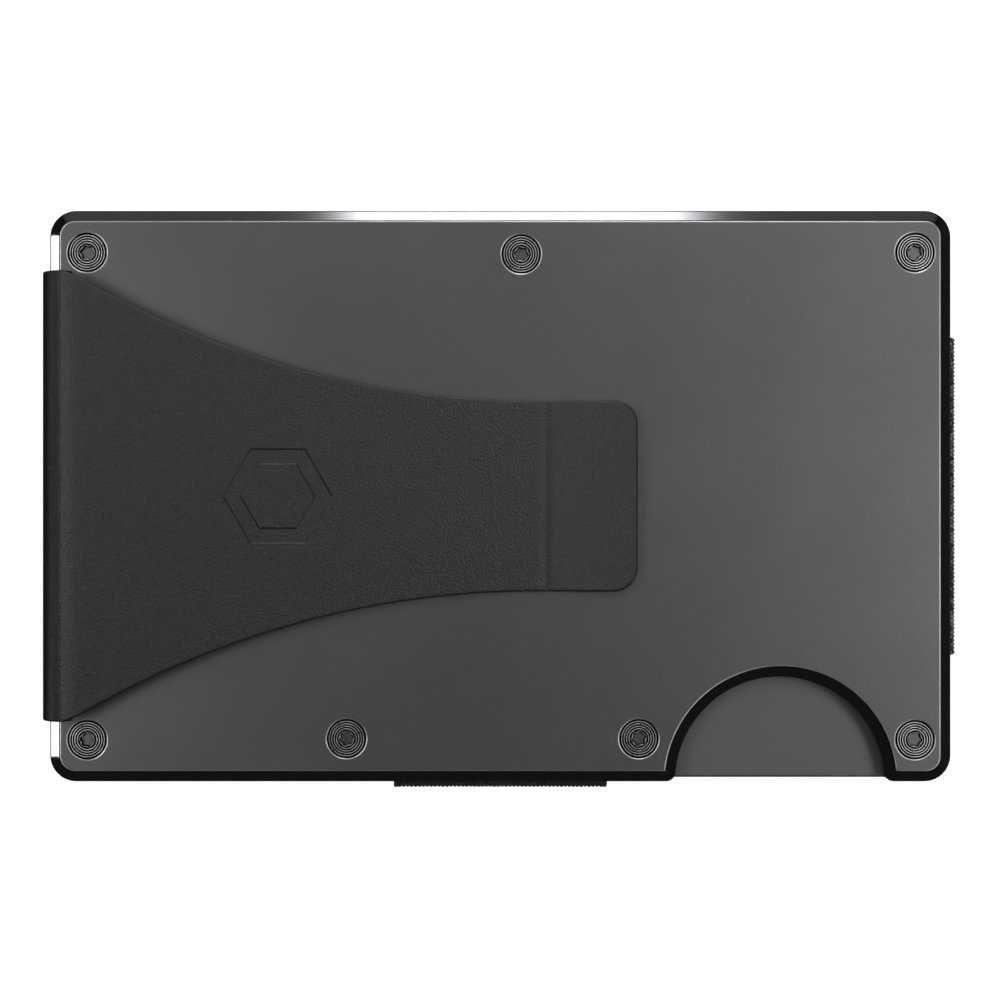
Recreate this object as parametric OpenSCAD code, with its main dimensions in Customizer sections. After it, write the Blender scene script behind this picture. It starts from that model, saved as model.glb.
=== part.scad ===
// Minimalist wallet: two rigid halves drawn together by elastic, with a money clip on the front.
// It lies on its back: +X along the length, +Y towards the open edge, +Z out of the front.
// The origin is the centre of the rear face.

/* [Body] */
// Length of the outer plates
body_l = 86; // [85:0.5:92]
// Width of the outer plates
body_w = 54.5; // [54:0.5:60]
// Corner radius of the outer plates
corner_r = 2.5; // [2:0.1:4]
// Thickness of each outer plate
outer_t = 1.5; // [1.4:0.1:2]
// Thickness of each inner plate
inner_t = 1.5; // [1.4:0.1:2]
// Width of the polished chamfer round each outer plate
chamfer_w = 1.1; // [0.6:0.05:1.2]
// Height of that chamfer
chamfer_h = 0.75; // [0.5:0.05:0.9]
// How far the inner plates stand back from the outer ones
inner_inset = 0.3; // [0.2:0.05:0.6]
// Gap between the two halves with no card in
closed_gap = 0.05; // [0.02:0.01:0.2]

/* [Thumb notch] */
// Place of the notch along the lower edge
notch_x = 26.7; // [22:0.1:28]
// Radius of the notch
notch_r = 10; // [8:0.1:11]
// Rounding where the notch meets the lower edge
notch_round = 0.9; // [0.5:0.05:1]

/* [Elastic] */
// Width of the band that goes round both short ends
band_w = 30.5; // [26:0.1:32]
// Width of the strap that goes round the lower edge
strap_w = 20.35; // [14:0.05:21]
// Thickness of the webbing
web_t = 0.55; // [0.4:0.05:0.6]
// How far the band bulges past the outer plates
band_bulge = 0.8; // [0.4:0.05:1]
// How far the strap bulges past the outer plates
strap_bulge = 0.8; // [0.4:0.05:1]
// Length of each strap leg, from the lower edge to the end of its hem
strap_leg = 11.4; // [10:0.1:11.5]
// Length of the hem that keys each strap leg into its plate
hem_l = 1.5; // [1:0.1:2]
// Thickness of that hem
hem_t = 1.08; // [0.8:0.02:1.1]

/* [Money clip] */
// Thickness of the clip's sheet
clip_t = 0.7; // [0.5:0.05:0.7]
// Inner radius of its bend
bend_r = 2; // [1.8:0.1:2.5]
// How far the bend stands past the end of the body
clip_reach = 0.3; // [0.2:0.05:0.8]
// Width at the bend
clip_root_w = 42.4; // [38:0.2:42.4]
// Width of the waist and tip
clip_tip_w = 18.1; // [14:0.1:24]
// Place where the sides stop closing in
clip_waist_x = 3.2; // [0:0.1:4]
// Place where the arm touches the face
clip_contact_x = 4.1; // [4.1:0.1:6]
// Place of the end of the tip
clip_end_x = 13; // [11:0.5:16]
// Corner radius of the tip
clip_tip_r = 2.3; // [1:0.1:4]
// Corner radius at the bend
clip_root_r = 0.7; // [0.3:0.1:1]
// Upward kick of the tip, in degrees
tip_kick = 9; // [4:1:14]
// Radius of the crease before the tip
crease_r = 5; // [3:0.5:8]
// Open angle left between base and leaf for the clip's flex, in degrees
flex_room = 7; // [6.5:0.5:9]
// Length of the hidden base under the front plate
base_l = 4.4; // [4:0.1:6]

/* [Screws] */
// Radius of the countersunk head
head_r = 1.9; // [1.7:0.05:2]
// Radius of the thread
shank_r = 1; // [0.8:0.05:1]
// Distance of the corner screws from the end at the clip
screw_left = 3.65; // [3.4:0.05:4]
// Distance of the corner screws from the other end
screw_right = 3.5; // [3.4:0.05:4]
// Distance of the screws from the long edges
screw_side = 4.05; // [3.8:0.05:4.2]
// Outer radius of the six-lobe recess
lobe_r = 0.75; // [0.6:0.05:0.8]

/* [Hidden] */

// Curves are fine enough to read as round
$fn = 96;
// Overshoot of a cut past the face that it opens
past = 1;
// Running clearance between pieces that lie in each other
slack = 0.02;

// Heights of the stack, from the rear face up
z_rear_joint = outer_t;
z_rear_inside = outer_t + inner_t;
z_front_inside = z_rear_inside + closed_gap;
z_front_joint = z_front_inside + inner_t;
z_face = z_front_joint + outer_t;

// Elastic: its channel, its runs and its round ends
channel_d = web_t + 2.5 * slack;
run_low = z_rear_joint + slack + 0.005;
run_high = z_front_joint - slack - 0.005;
web_mid = (run_low + run_high) / 2;
web_r = (run_high - run_low) / 2;
band_end = body_l / 2 + band_bulge - web_r;
strap_end = body_w / 2 + strap_bulge - web_r;
edge_room = 0.1;
side_room = 0.1;
pocket_d = hem_t + 3 * slack;
hem_top = strap_leg - body_w / 2;

// Money clip: bend centre, arm slope and plan outline
bend_outer = bend_r + clip_t;
bend_x = bend_outer - body_l / 2 - clip_reach;
bend_z = z_front_joint + bend_outer;
touch_gap = 0.03;
touch_dx = clip_contact_x - bend_x;
touch_dz = bend_z - z_face - touch_gap;
arm_slope = asin(bend_r / norm([touch_dx, touch_dz])) + atan(touch_dz / touch_dx);
side_dx = clip_waist_x - bend_x;
side_dy = (clip_root_w - clip_tip_w) / 2;
side_r = (side_dx * side_dx + side_dy * side_dy) / (2 * side_dy);
relief_room = 0.25;
relief_x = bend_x - 0.15;
base_room = 0.1;
ear_r = 2.2;
ear_hole_r = 1.3;

// Screws: places on the face, then the shape of one
left_x = screw_left - body_l / 2;
right_x = body_l / 2 - screw_right;
row_y = body_w / 2 - screw_side;
SCREWS = [[left_x, row_y], [right_x, row_y], [left_x, -row_y], [right_x, -row_y],
          [2, row_y - 0.15], [-14.65, -row_y + 0.1], [13.2, -row_y + 0.1]];
head_h = head_r - shank_r;
head_sink = 0.04;
hole_r = shank_r + 0.1;
thread_l = 1.3;
lobe_d = 0.5;
lobe_count = 6;
lobe_tip_r = 0.2;

// Flat outline of a plate with round corners
module round_outline(l, w, r) {
    square([l - 2 * r, w], center = true);
    square([l, w - 2 * r], center = true);
    for (x = [-1, 1])
        for (y = [-1, 1])
            translate([x * (l / 2 - r), y * (w / 2 - r)])
                circle(r = r);
}

// Outer plate lying on z = 0 with its chamfer on top
module chamfered_plate() {
    wall_h = outer_t - chamfer_h;
    linear_extrude(wall_h)
        round_outline(body_l, body_w, corner_r);
    translate([0, 0, wall_h]) {
        rotate([90, 0, 90])
            linear_extrude(body_l - 2 * corner_r, center = true)
                chamfer_profile(body_w);
        rotate([90, 0, 0])
            linear_extrude(body_w - 2 * corner_r, center = true)
                chamfer_profile(body_l);
        for (x = [-1, 1])
            for (y = [-1, 1])
                translate([x * (body_l / 2 - corner_r), y * (body_w / 2 - corner_r), 0])
                    cylinder(h = chamfer_h, r1 = corner_r, r2 = corner_r - chamfer_w);
    }
}

// Section across the chamfered top of a plate of that span
module chamfer_profile(span) {
    polygon([[-span / 2, 0], [span / 2, 0],
             [span / 2 - chamfer_w, chamfer_h], [chamfer_w - span / 2, chamfer_h]]);
}

// Countersunk holes of an outer plate that lies on z = 0
module countersinks() {
    for (p = SCREWS)
        translate([p[0], p[1], 0]) {
            translate([0, 0, -past])
                cylinder(h = outer_t + 2 * past, r = hole_r);
            translate([0, 0, outer_t - head_h])
                cylinder(h = head_h, r1 = hole_r, r2 = hole_r + head_h);
            translate([0, 0, outer_t])
                cylinder(h = past, r = hole_r + head_h);
        }
}

// Notch cut through an outer plate that lies on z = 0
module notch_cut() {
    wall_h = outer_t - chamfer_h;
    round_y = notch_round;
    round_x = sqrt(pow(notch_r + notch_round, 2) - round_y * round_y);
    block = round_x - notch_r + 0.3;
    translate([notch_x, -body_w / 2, 0]) {
        translate([0, 0, -past])
            cylinder(h = outer_t + 2 * past, r = notch_r);
        translate([0, 0, wall_h])
            cylinder(h = chamfer_h, r1 = notch_r, r2 = notch_r + chamfer_w);
        for (side = [-1, 1])
            difference() {
                translate([side * (round_x - block / 2), (round_y - past) / 2, outer_t / 2])
                    cube([block, round_y + past, outer_t + 2 * past], center = true);
                translate([side * round_x, round_y, -2 * past])
                    cylinder(h = wall_h + 2 * past, r = notch_round);
                translate([side * round_x, round_y, wall_h])
                    cylinder(h = chamfer_h, r1 = notch_round, r2 = 0.02);
            }
    }
}

// Room for the clip in the left end of the front outer plate, which lies on z = 0
module clip_room() {
    half_w = clip_root_w / 2 + relief_room;
    translate([-body_l / 2 - past, -half_w, -past])
        cube([relief_x + body_l / 2 + past, 2 * half_w, outer_t + 2 * past]);
    translate([0, 0, -past])
        linear_extrude(clip_t + slack + past) {
            base_outline(base_room);
            translate([relief_x - past, -clip_root_w / 2 - base_room])
                square([2 * past, clip_root_w + 2 * base_room]);
        }
}

module front_outer_plate() {
    color("#4c4c4e")
        translate([0, 0, z_front_joint])
            difference() {
                chamfered_plate();
                countersinks();
                notch_cut();
                clip_room();
            }
}

module rear_outer_plate() {
    color("#4c4c4e")
        translate([0, 0, outer_t])
            mirror([0, 0, 1])
                difference() {
                    chamfered_plate();
                    countersinks();
                }
}

// Inner plate lying on z = 0 with its card face down and its channels on top
module inner_plate() {
    l = body_l - 2 * inner_inset;
    w = body_w - 2 * inner_inset;
    band_cut = band_w + 2 * side_room;
    strap_cut = strap_w + 2 * side_room;
    lead = 0.4;
    difference() {
        linear_extrude(inner_t)
            round_outline(l, w, corner_r - inner_inset);
        translate([0, 0, inner_t - channel_d + past / 2])
            cube([body_l + past, band_cut, channel_d + past], center = true);
        translate([-strap_cut / 2, -body_w / 2 - past, inner_t - channel_d])
            cube([strap_cut, strap_leg + side_room + past, channel_d + past]);
        translate([-strap_cut / 2, hem_top - hem_l - side_room, inner_t - pocket_d])
            cube([strap_cut, hem_l + 2 * side_room, pocket_d + past]);
        for (side = [-1, 1])
            translate([side * (band_end - edge_room + body_l / 2), 0, 0])
                cube([body_l, band_cut, 4 * inner_t], center = true);
        translate([0, -(strap_end - edge_room + body_w / 2), 0])
            cube([strap_cut, body_w, 4 * inner_t], center = true);
        for (p = SCREWS)
            translate([p[0], p[1], -past])
                cylinder(h = inner_t + 2 * past, r = shank_r);
        translate([0, w / 2, 0])
            rotate([0, 90, 0])
                linear_extrude(body_l + past, center = true)
                    polygon([[past, -lead - past], [past, past], [-lead, past], [-lead, 0], [0, -lead]]);
    }
}

module front_inner_plate() {
    color("#5a5b5d")
        translate([0, 0, z_front_inside])
            difference() {
                inner_plate();
                translate([notch_x, -body_w / 2, -past])
                    cylinder(h = inner_t + 2 * past, r = notch_r + side_room);
            }
}

module rear_inner_plate() {
    color("#5a5b5d")
        translate([0, 0, z_rear_inside])
            mirror([0, 0, 1])
                inner_plate();
}

// Section of a webbing loop: flat runs joined by round ends at the given places
module web_loop(from, to) {
    difference() {
        web_slot(from, to, web_r);
        web_slot(from, to, web_r - web_t);
    }
}

module web_slot(from, to, r) {
    translate([from, web_mid - r])
        square([to - from, 2 * r]);
    for (x = [from, to])
        translate([x, web_mid])
            circle(r = r);
}

module elastic_band() {
    color("#2e2e30")
        rotate([90, 0, 0])
            linear_extrude(band_w, center = true)
                web_loop(-band_end, band_end);
}

module elastic_strap() {
    leg_top = hem_top - side_room;
    color("#2e2e30")
        rotate([90, 0, 90])
            linear_extrude(strap_w, center = true) {
                intersection() {
                    web_loop(-strap_end, strap_end);
                    translate([-body_w, 0])
                        square([body_w + leg_top, 2 * z_face]);
                }
                translate([leg_top - hem_l, run_low])
                    square([hem_l, hem_t]);
                translate([leg_top - hem_l, run_high - hem_t])
                    square([hem_l, hem_t]);
            }
}

// Plan of the clip's hidden base, grown by the given room
module base_outline(room) {
    half_w = clip_root_w / 2;
    translate([bend_x, -half_w - room])
        square([base_l + room, 2 * (half_w + room)]);
    for (side = [-1, 1]) {
        translate([left_x, side * row_y])
            circle(r = ear_r + room);
        translate([left_x, side * (half_w + row_y) / 2])
            square([2 * (ear_r + room), row_y - half_w + 2 * room], center = true);
    }
}

// Sector of a ring round the origin, from angle a up to angle b, less than half a turn
module ring_sector(r_in, r_out, a, b) {
    far = 2 * r_out / cos((b - a) / 2);
    middle = (a + b) / 2;
    intersection() {
        difference() {
            circle(r = r_out);
            circle(r = r_in);
        }
        polygon([[0, 0], far * [cos(a), sin(a)], far * [cos(middle), sin(middle)], far * [cos(b), sin(b)]]);
    }
}

module clip_base() {
    color("#2a2a2c")
        difference() {
            union() {
                translate([0, 0, z_front_joint])
                    linear_extrude(clip_t)
                        base_outline(0);
                translate([bend_x, 0, bend_z])
                    rotate([90, 0, 0])
                        linear_extrude(clip_root_w, center = true)
                            ring_sector(bend_r, bend_outer, 180 + flex_room, 270);
            }
            for (side = [-1, 1])
                translate([left_x, side * row_y, 0])
                    cylinder(h = 2 * z_face, r = ear_hole_r);
        }
}

// Points of an arc about centre c, from angle a to angle b
function arc(c, r, a, b, n = 16) = [for (i = [0 : n]) c + r * [cos(a + (b - a) * i / n), sin(a + (b - a) * i / n)]];

// Side view of the clip's leaf: half of the bend, the arm, the crease and the tip
module leaf_profile() {
    bend = [bend_x, bend_z];
    touch = [clip_contact_x, z_face + touch_gap];
    crease = touch + crease_r * [sin(arm_slope), cos(arm_slope)];
    tip_way = [cos(tip_kick), sin(tip_kick)];
    tip_up = [-sin(tip_kick), cos(tip_kick)];
    tip_low = crease - crease_r * tip_up + (clip_end_x + past - crease[0]) * tip_way;
    polygon(concat(
        arc(bend, bend_outer, 180, 90 - arm_slope, 24),
        arc(crease, crease_r - clip_t, 270 - arm_slope, 270 + tip_kick),
        [tip_low + clip_t * tip_up, tip_low],
        arc(crease, crease_r, 270 + tip_kick, 270 - arm_slope),
        arc(bend, bend_r, 90 - arm_slope, 180, 24)));
}

// Plan of the clip's leaf: sides that close in along arcs, then a straight waist and a round-cornered tip
module leaf_outline() {
    left = bend_x - bend_outer;
    difference() {
        translate([left, -clip_root_w / 2])
            square([clip_end_x - left, clip_root_w]);
        for (side = [-1, 1]) {
            intersection() {
                translate([bend_x, side * clip_root_w / 2])
                    square([2 * side_dx, 2 * side_dy], center = true);
                translate([clip_waist_x, side * (clip_tip_w / 2 + side_r)])
                    circle(r = side_r, $fn = 360);
            }
            translate([clip_waist_x, side > 0 ? clip_tip_w / 2 : -clip_root_w])
                square([clip_end_x, clip_root_w - clip_tip_w / 2]);
            translate([clip_end_x, side * clip_tip_w / 2])
                corner_bite(clip_tip_r, -1, -side);
            translate([left, side * clip_root_w / 2])
                corner_bite(clip_root_r, 1, -side);
        }
    }
}

// What rounding takes off a corner at the origin, whose body lies towards (sx, sy)
module corner_bite(r, sx, sy) {
    difference() {
        translate([sx * (r - past) / 2, sy * (r - past) / 2])
            square(r + past, center = true);
        translate([sx * r, sy * r])
            circle(r = r);
    }
}

module clip_leaf() {
    color("#2a2a2c")
        intersection() {
            rotate([90, 0, 0])
                linear_extrude(2 * clip_root_w, center = true)
                    leaf_profile();
            linear_extrude(4 * z_face)
                leaf_outline();
        }
}

// Countersunk screw whose face lies at z = 0 and whose shank points down
module screw() {
    color("#3c3c3e")
        translate([0, 0, -head_sink])
            difference() {
                union() {
                    translate([0, 0, -head_h])
                        cylinder(h = head_h, r1 = shank_r - slack, r2 = head_r);
                    translate([0, 0, -outer_t - thread_l])
                        cylinder(h = outer_t + thread_l - head_h, r = shank_r - slack);
                }
                translate([0, 0, -lobe_d])
                    linear_extrude(lobe_d + past)
                        six_lobes();
            }
}

module six_lobes() {
    circle(r = lobe_r - lobe_tip_r);
    for (i = [0 : lobe_count - 1])
        rotate(i * 360 / lobe_count)
            translate([lobe_r - lobe_tip_r, 0])
                circle(r = lobe_tip_r);
}

module front_screw(i) {
    translate([SCREWS[i][0], SCREWS[i][1], z_face])
        screw();
}

module rear_screw(i) {
    translate([SCREWS[i][0], SCREWS[i][1], 0])
        mirror([0, 0, 1])
            screw();
}

front_outer_plate();
front_inner_plate();
rear_outer_plate();
rear_inner_plate();
elastic_band();
elastic_strap();
clip_base();
clip_leaf();
for (i = [0 : len(SCREWS) - 1]) {
    front_screw(i);
    rear_screw(i);
}
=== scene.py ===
"""Minimalist wallet, built round the CAD frame: screwed plates, woven elastic and a sprung money clip."""

import math

import bmesh
import bpy
from bpy.props import FloatProperty, FloatVectorProperty, IntProperty, PointerProperty
from bpy.types import Operator, Panel, PropertyGroup
from mathutils import Matrix, Vector


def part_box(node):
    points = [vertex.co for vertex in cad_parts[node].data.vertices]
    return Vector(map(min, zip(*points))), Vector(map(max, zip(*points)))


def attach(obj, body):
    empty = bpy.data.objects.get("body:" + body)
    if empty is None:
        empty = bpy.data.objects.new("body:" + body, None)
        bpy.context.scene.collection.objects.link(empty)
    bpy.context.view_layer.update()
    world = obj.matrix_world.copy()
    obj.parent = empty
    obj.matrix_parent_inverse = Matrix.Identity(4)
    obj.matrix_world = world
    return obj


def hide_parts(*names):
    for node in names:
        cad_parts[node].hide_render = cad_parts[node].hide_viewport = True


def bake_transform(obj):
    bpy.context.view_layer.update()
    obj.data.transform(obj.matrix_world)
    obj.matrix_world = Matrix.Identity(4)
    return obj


bl_info = {
    "name": "Minimalist Wallet",
    "version": (1, 0, 0),
    "blender": (4, 5, 0),
    "location": "View3D > Sidebar > Wallet",
    "description": "Builds a screwed metal card wallet with woven elastic and a money clip",
    "category": "Object",
}

MM = 0.001
FINE = 0.01 * MM  # smallest step in the screws' shape
MERGE = 1e-7  # points closer than this are one
LEVEL = 0.99999  # upright part of a level face's normal, at the least
HARD_EDGE = math.radians(30)

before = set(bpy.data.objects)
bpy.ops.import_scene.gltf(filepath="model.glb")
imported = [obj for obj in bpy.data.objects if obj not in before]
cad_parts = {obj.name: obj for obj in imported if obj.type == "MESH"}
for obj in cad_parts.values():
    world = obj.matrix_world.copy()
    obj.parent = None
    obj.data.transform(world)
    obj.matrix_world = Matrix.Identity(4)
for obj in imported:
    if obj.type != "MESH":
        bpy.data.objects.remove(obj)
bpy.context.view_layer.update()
FRONT_LOW, FRONT_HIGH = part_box("front_outer_plate")
REAR_LOW, REAR_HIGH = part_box("rear_outer_plate")
LEAF_LOW, LEAF_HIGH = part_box("clip_leaf")
BASE_LOW, BASE_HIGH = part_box("clip_base")
BAND_LOW, BAND_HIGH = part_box("elastic_band")
STRAP_LOW, STRAP_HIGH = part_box("elastic_strap")
SCREW_COUNT = sum(1 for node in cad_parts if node.startswith("front_screw_"))


# ---------------------------------------------------------------- sizes and finishes


def length(name, mm, text):
    """A length property whose default is given in millimetres."""
    return FloatProperty(name=name, description=text, default=mm * MM, unit="LENGTH", precision=5)


def angle(name, degrees, text):
    """An angle property whose default is given in degrees."""
    return FloatProperty(name=name, description=text, default=math.radians(degrees), subtype="ANGLE")


def number(name, value, text):
    """A plain number property."""
    return FloatProperty(name=name, description=text, default=value, precision=4)


def colour(name, value, text):
    """A colour property."""
    return FloatVectorProperty(
        name=name, description=text, default=value, size=3, min=0, max=1, subtype="COLOR")


class WalletPlates(PropertyGroup):
    """Shape of the outer plates"""

    corner: length("Corner", 2.5, "Corner radius of an outer plate")
    chamfer_width: length("Chamfer Width", 1.1, "Width of the polished chamfer")
    chamfer_height: length("Chamfer Height", 0.75, "Height of the polished chamfer")
    face_fillet: length("Face Fillet", 0.18, "Rounding between the face and its chamfer")
    edge_fillet: length("Edge Fillet", 0.1, "Rounding of the other long edges")
    notch_x: length("Notch Place", 26.7, "Centre of the thumb notch along the lower edge")
    notch_radius: length("Notch Radius", 10.0, "Radius of the thumb notch")
    notch_round: length("Notch Rounding", 0.9, "Rounding where the notch meets the lower edge")
    run_margin: length("Run Margin", 0.6, "How near extra points lie to the ends of long straight runs")
    # Painted highlight and painted shade: the bright line at the face's edge and its dark neighbour are
    # colours on the rim.
    painted_line_width: length("Edge Line", 0.11, "Width of the bright line at the face's edge and of its dark neighbour")
    relief_x: length("Relief Place", -40.75, "Inner wall of the slot that the clip's bend stands in")
    relief_half: length("Relief Half Width", 21.45, "Half width of that slot")
    hole: length("Hole", 1.1, "Radius of a screw hole")
    sink: length("Countersink", 0.82, "Depth of a hole's countersink, which is as wide as deep")
    lip: length("Countersink Lip", 0.15, "Rounding of the countersink's mouth")
    # Painted highlight: the bright upper part of the countersink's rounding.
    lip_shine: length("Bright Lip", 0.045, "Depth of the bright upper part of that rounding")
    card_edge: length("Card Plate Edge", 0.09, "Rounding of the inner plates' edges")


class WalletClip(PropertyGroup):
    """Shape of the money clip"""

    sheet: length("Sheet", 0.7, "Thickness of the sprung sheet")
    bend: length("Bend", 2.0, "Inner radius of the bend")
    slope: angle("Slope", 4.04, "How much the arm falls towards the face")
    kick: angle("Kick", 9.0, "How much the tip turns up")
    crease: length("Crease", 5.0, "Radius of the crease before the tip")
    contact_x: length("Contact", 4.1, "Place where the arm touches the face")
    contact_gap: length("Contact Gap", 0.03, "Play that is left there between arm and face")
    waist_x: length("Waist", 3.2, "Place where the sides stop closing in")
    tip_half: length("Tip Half Width", 9.05, "Half width of the waist and tip")
    tip_corner: length("Tip Corner", 2.3, "Corner radius of the tip")
    edge: length("Edge", 0.2, "Rounding of the sheet's edges")
    lug: length("Lug", 2.2, "Radius of the two lugs that the end screws hold")
    lug_hole: length("Lug Hole", 1.3, "Radius of the hole in a lug")
    room: length("Room", 0.1, "Clearance round the base in its recess")
    flex_lean: number("Flex Lean", 0.3, "Slope of the line along which the bend takes up the motion")
    flex_start: length("Flex Start", -0.6, "Where the bend starts to follow the arm, from its centre")
    flex_end: length("Flex End", 2.0, "Where the bend follows the arm in full, from its centre")
    mark_x: length("Mark Place", -21.0, "Place of the pressed mark along the arm")
    mark: length("Mark", 5.2, "Radius of the pressed mark, corner to centre")
    stroke: length("Stroke", 1.8, "Width of the mark's stroke")
    mark_depth: length("Mark Depth", 0.09, "Depth of the pressed mark")
    mark_slant: number("Mark Slant", 2.1, "How far the mark's walls lean out, against its depth")


class WalletElastic(PropertyGroup):
    """Weave of the elastic"""

    webbing: length("Webbing", 0.55, "Thickness of the webbing")
    rib: length("Rib Pitch", 0.38, "Distance between neighbouring ribs")
    stitch: length("Stitch Pitch", 0.36, "Distance between the stitches of a rib")
    tilt: angle("Tilt", 16.0, "How far each stitch leans from its rib")
    tuck: length("Tuck", 0.5, "How far a loop end reaches into its channel")
    hem: length("Hem", 1.5, "Length of the strap's folded hems")
    hem_thickness: length("Hem Thickness", 1.08, "Thickness of those hems")
    swell: length("Hem Swell", 0.3, "Length over which a leg thickens into its hem")
    seed: IntProperty(name="Seed", description="Seed of the stitches' small differences", default=7)


class WalletScrews(PropertyGroup):
    """Shape of a screw"""

    head: length("Head", 1.74, "Radius of the countersunk head")
    drop: length("Drop", 0.04, "How far the head lies under the face")
    ridge_pitch: length("Ridge Pitch", 0.234, "Distance between the turned ridges")
    ridge_start: length("First Ridge", 0.94, "Radius of the innermost ridge")
    ridge_depth: length("Ridge Depth", 0.13, "Depth of the grooves between the ridges")
    ridges: IntProperty(name="Ridges", description="Number of turned ridges", default=4)
    recess: length("Recess", 0.65, "Middle radius of the six-lobe recess")
    lobe: length("Lobe", 0.07, "How far the lobes go in and out")
    recess_depth: length("Recess Depth", 0.5, "Depth of the recess")
    shank: length("Shank", 0.98, "Radius of the thread")
    reach: length("Reach", 2.8, "Distance from the face to the screw's end")
    chamfer: length("Chamfer", 0.1, "Chamfer of that end")
    turn: angle("Turn", 60.0, "How far screws may be turned from one another")
    seed: IntProperty(name="Seed", description="Seed of the screws' turns", default=3)


class WalletFinishes(PropertyGroup):
    """Colours of the finishes"""

    face: colour("Face", (0.088, 0.088, 0.09), "Bead-blasted anodised face")
    chamfer: colour("Chamfer", (0.045, 0.045, 0.047), "Polished anodised chamfer")
    # Painted highlight: the colour of the bright line where face and chamfer meet.
    edge: colour("Edge", (0.36, 0.36, 0.365), "Painted highlight line where face and chamfer meet")
    card: colour("Card Plate", (0.098, 0.098, 0.099), "Satin inner plates")
    coat: colour("Coat", (0.002, 0.002, 0.0021), "Powder coat of the clip")
    yarn: colour("Yarn", (0.009, 0.009, 0.0095), "Yarn of the elastic")
    # Painted light: the band's pale stitches carry a painted sheen besides their own fleck, and the strap's
    # stitches are the same yarn painted darker, as in shade.
    band_fleck_and_sheen: colour("Band Fleck", (0.21, 0.21, 0.215), "Pale stitches of the band")
    strap_fleck_shaded: colour("Strap Fleck", (0.02, 0.02, 0.0205), "Pale stitches of the strap")
    # Painted highlight and painted shade on the screws: the crest colour and the near-black of the grooves
    # and recess walls.
    screw: colour("Screw", (0.5, 0.5, 0.505), "Crests of the screws' turned ridges")
    groove: colour("Groove", (0.003, 0.003, 0.003), "Painted shade on the rest of the screws")


class WalletStage(PropertyGroup):
    """Camera and lights"""

    camera_x: length("Camera X", -0.03, "Place of the camera along the wallet")
    camera_y: length("Camera Y", -0.37, "Place of the camera across the wallet")
    camera_z: length("Camera Height", 245.3, "Height of the camera over the floor")
    lens: number("Lens", 90.45, "Focal length in millimetres")
    floor: length("Floor", 6000, "Side of the floor")
    floor_light: number("Floor Light", 0.93, "Strength of the floor's own light, to the camera only")
    backdrop: number("Backdrop", 0.972, "Level of the backdrop, to the camera only")
    ambient: number("Ambient", 0.12, "Strength of the light from all round")


# ---------------------------------------------------------------- mesh helpers


def put(name, mesh):
    """Links a mesh as an object at the origin."""
    piece = bpy.data.objects.new(name, mesh)
    bpy.context.scene.collection.objects.link(piece)
    return piece


def from_bmesh(name, bm, sharp=HARD_EDGE):
    """Merges doubles, turns the faces outwards, marks hard edges and makes the object."""
    bmesh.ops.remove_doubles(bm, verts=bm.verts, dist=MERGE)
    bmesh.ops.recalc_face_normals(bm, faces=bm.faces)
    mark_hard_edges(bm, sharp)
    mesh = bpy.data.meshes.new(name)
    bm.to_mesh(mesh)
    bm.free()
    return put(name, mesh)


def mark_hard_edges(bm, sharp):
    """Shades all but level faces smooth and leaves edges over the given angle hard."""
    for face in bm.faces:
        face.smooth = abs(face.normal.z) < LEVEL
    for edge in bm.edges:
        edge.smooth = len(edge.link_faces) == 2 and edge.calc_face_angle(0) < sharp


def evaluated_copy(piece, name):
    """The piece with its modifiers applied, as a new object. The old one is removed."""
    depsgraph = bpy.context.evaluated_depsgraph_get()
    mesh = bpy.data.meshes.new_from_object(piece.evaluated_get(depsgraph))
    mesh.name = name
    bpy.data.objects.remove(piece)
    return put(name, mesh)


def combined(piece, tool, operation, sharp=HARD_EDGE):
    """The piece after a boolean with the tool, which is removed."""
    name = piece.name
    cut = piece.modifiers.new("cut", "BOOLEAN")
    cut.operation = operation
    cut.solver = "EXACT"
    cut.object = tool
    done = evaluated_copy(piece, name)
    bpy.data.objects.remove(tool)
    bm = bmesh.new()
    bm.from_mesh(done.data)
    bmesh.ops.dissolve_degenerate(bm, edges=bm.edges, dist=MERGE)
    mark_hard_edges(bm, sharp)
    bm.to_mesh(done.data)
    bm.free()
    return done


def arc(centre, radius, start, end, steps):
    """Points of an arc, from one angle in degrees to the other."""
    turns = [math.radians(start + (end - start) * i / steps) for i in range(steps + 1)]
    return [Vector(centre) + radius * Vector((math.cos(turn), math.sin(turn))) for turn in turns]


def circle(centre, radius, steps):
    """Points of a full circle."""
    return arc(centre, radius, 0, 360, steps)[:-1]


def filleted(corners, radii, steps=5):
    """A polyline through the corners, with those between its ends rounded to the given radii."""
    corners = [Vector(corner) for corner in corners]
    points = [corners[0]]
    for before, corner, after, radius in zip(corners, corners[1:], corners[2:], radii):
        back = (before - corner).normalized()
        on = (after - corner).normalized()
        half = back.angle(on) / 2
        centre = corner + (back + on).normalized() * radius / math.sin(half)
        first = corner + back * radius / math.tan(half) - centre
        last = corner + on * radius / math.tan(half) - centre
        for i in range(steps + 1):
            points.append(centre + first.lerp(last, i / steps).normalized() * radius)
    return points + [corners[-1]]


def supported(points, margin=0.05 * MM):
    """The polyline with extra points close to the ends of its long runs, so that these shade flat."""
    kept = [points[0]]
    for start, end in zip(points, points[1:]):
        run = end - start
        if run.length > 4 * margin:
            kept += [start + run * margin / run.length, end - run * margin / run.length]
        kept.append(end)
    return kept


def skin(bm, rings, material=lambda strip: 0):
    """Quads between rings of points that all have the same count, with a material for each strip."""
    rows = [[bm.verts.new(point) for point in ring] for ring in rings]
    count = len(rows[0])
    for strip, (low, high) in enumerate(zip(rows, rows[1:])):
        for i in range(count):
            j = (i + 1) % count
            bm.faces.new((low[i], low[j], high[j], high[i])).material_index = material(strip)
    return rows


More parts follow.
